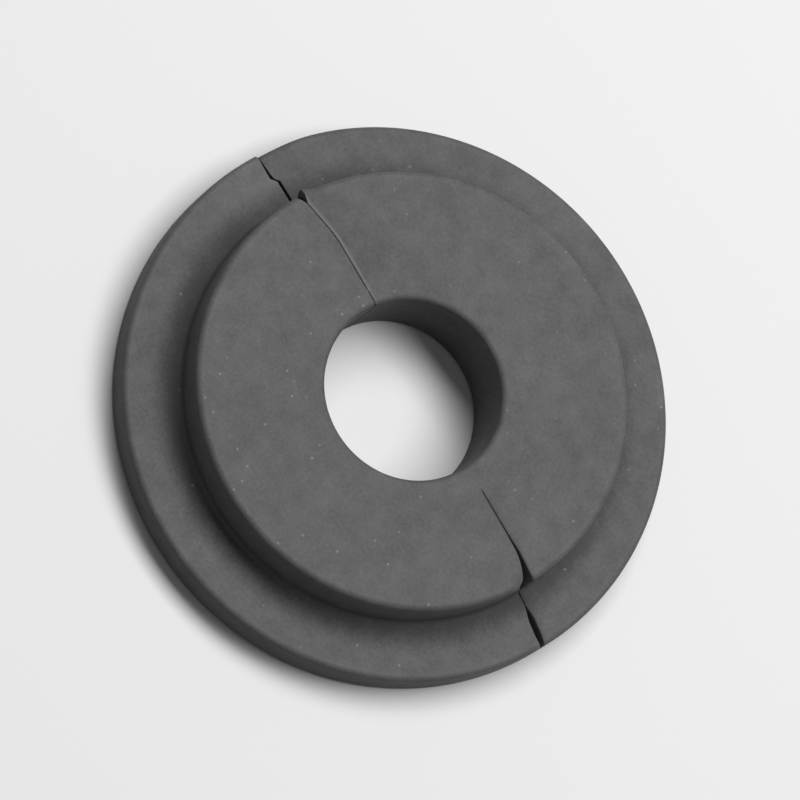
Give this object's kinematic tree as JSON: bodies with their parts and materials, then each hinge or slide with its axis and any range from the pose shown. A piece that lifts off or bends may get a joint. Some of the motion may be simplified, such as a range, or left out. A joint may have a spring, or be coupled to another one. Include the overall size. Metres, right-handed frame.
{
  "type": "thumbstick silicone ring",
  "caption": "Soft stepped ring, split so that it opens on a thin web, worn round the neck of a thumbstick to cushion and limit the stick's travel.",
  "frame": {"origin": "centre of the flat underside, on the ring's axis, where the ring rests", "axes": "+Z along the ring's axis, out of the face of the narrower tier; the through cut lies on the -X side and the flex slot on the +X side"},
  "size_m": [0.031, 0.031, 0.0054],
  "materials": {
    "silicone": "matt, soft, with a fine moulded grain"
  },
  "bodies": {
    "root": {"silicone_ring": "silicone"}
  },
  "joints": []
}
